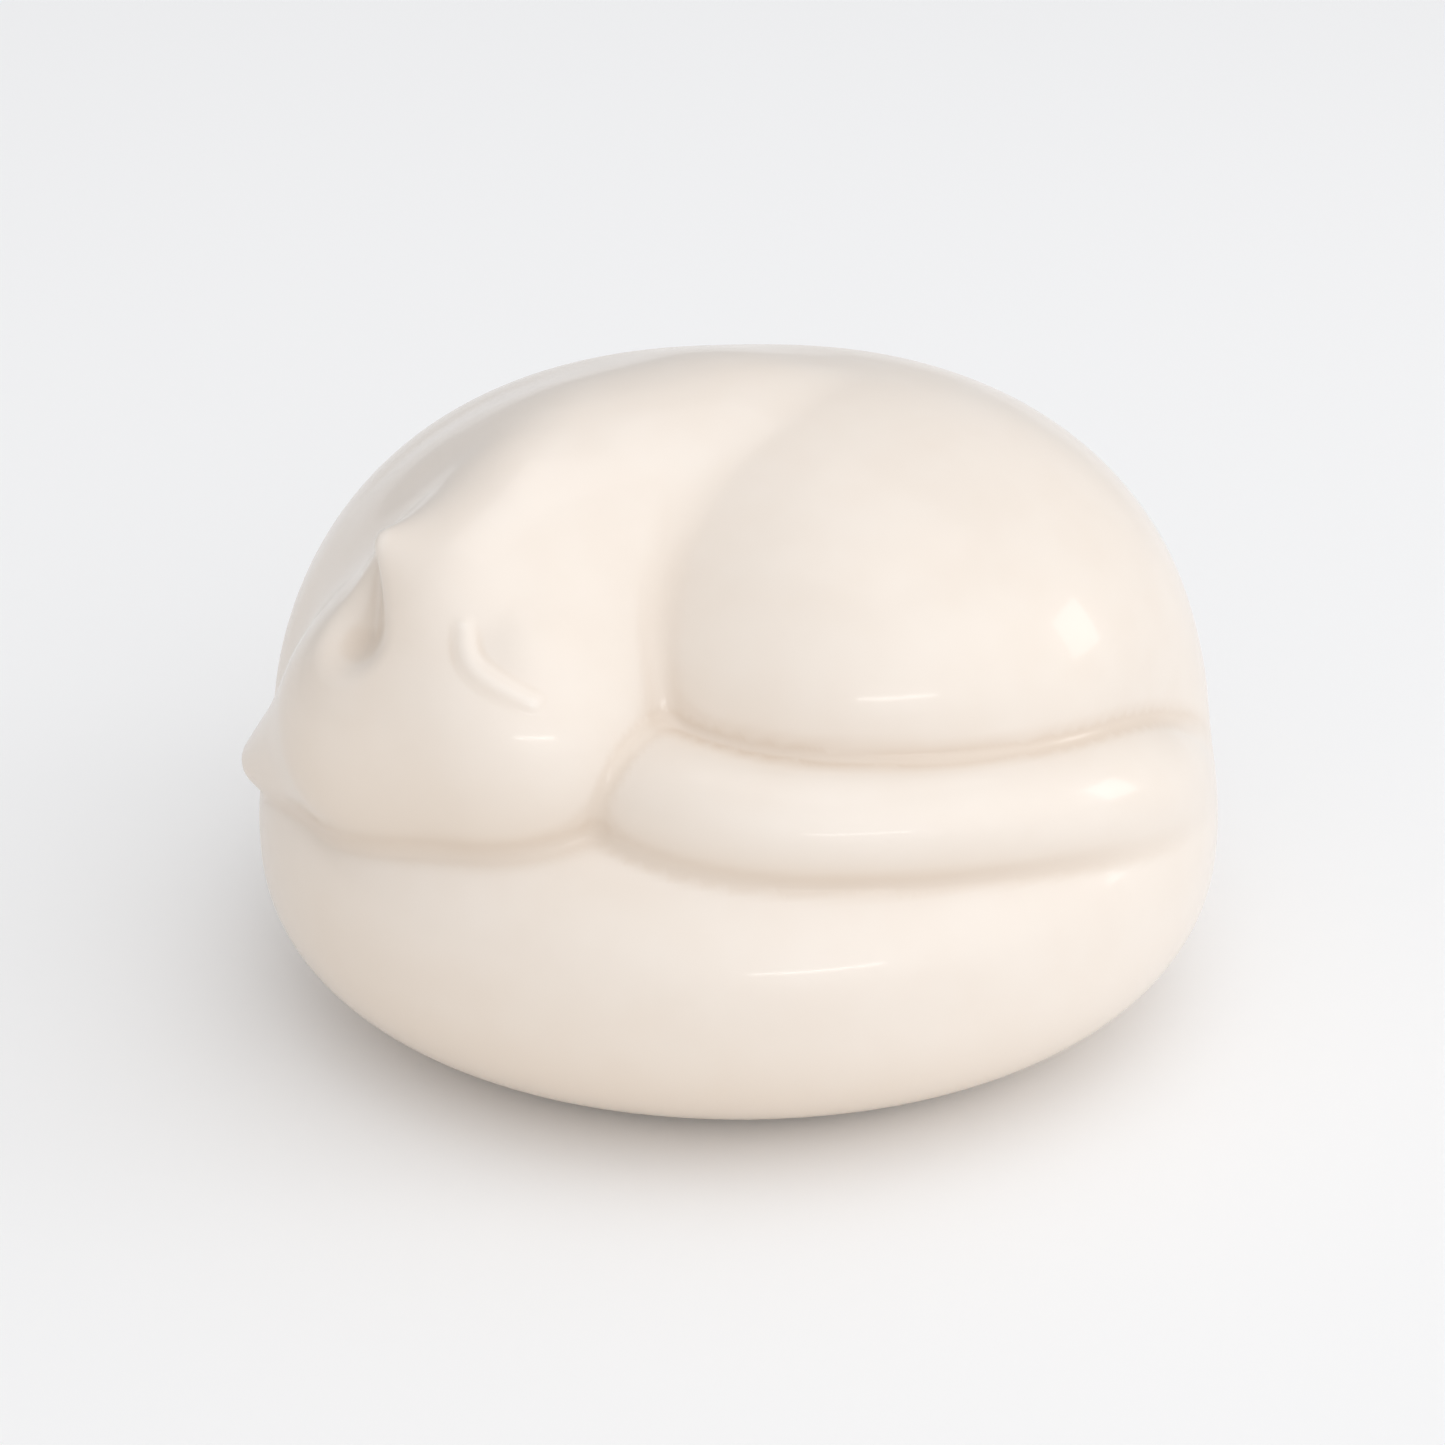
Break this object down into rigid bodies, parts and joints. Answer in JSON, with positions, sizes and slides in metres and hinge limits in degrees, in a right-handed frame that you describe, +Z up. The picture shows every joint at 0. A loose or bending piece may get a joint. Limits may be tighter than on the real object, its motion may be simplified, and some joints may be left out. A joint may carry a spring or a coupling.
{
  "type": "cat figurine",
  "caption": "Curled-up sleeping cat figurine in cream glazed ceramic, hollow cast, standing on thin felt pads.",
  "frame": {"origin": "on the surface that the figurine stands on, under the centre of its bounding box", "axes": "+Z up; +X from the cat's head and ears towards its rump; -Y is the front, where the folded face and the hind foot are"},
  "size_m": [0.175, 0.1576, 0.1184],
  "materials": {
    "cream_glaze": "glossy cream glaze, warmer where it pools in the creases",
    "cream_felt": "pressed felt"
  },
  "bodies": {
    "root": {"ceramic_body": "cream_glaze", "felt_pad_front_left": "cream_felt", "felt_pad_front_right": "cream_felt", "felt_pad_rear_left": "cream_felt", "felt_pad_rear_right": "cream_felt"}
  },
  "joints": []
}
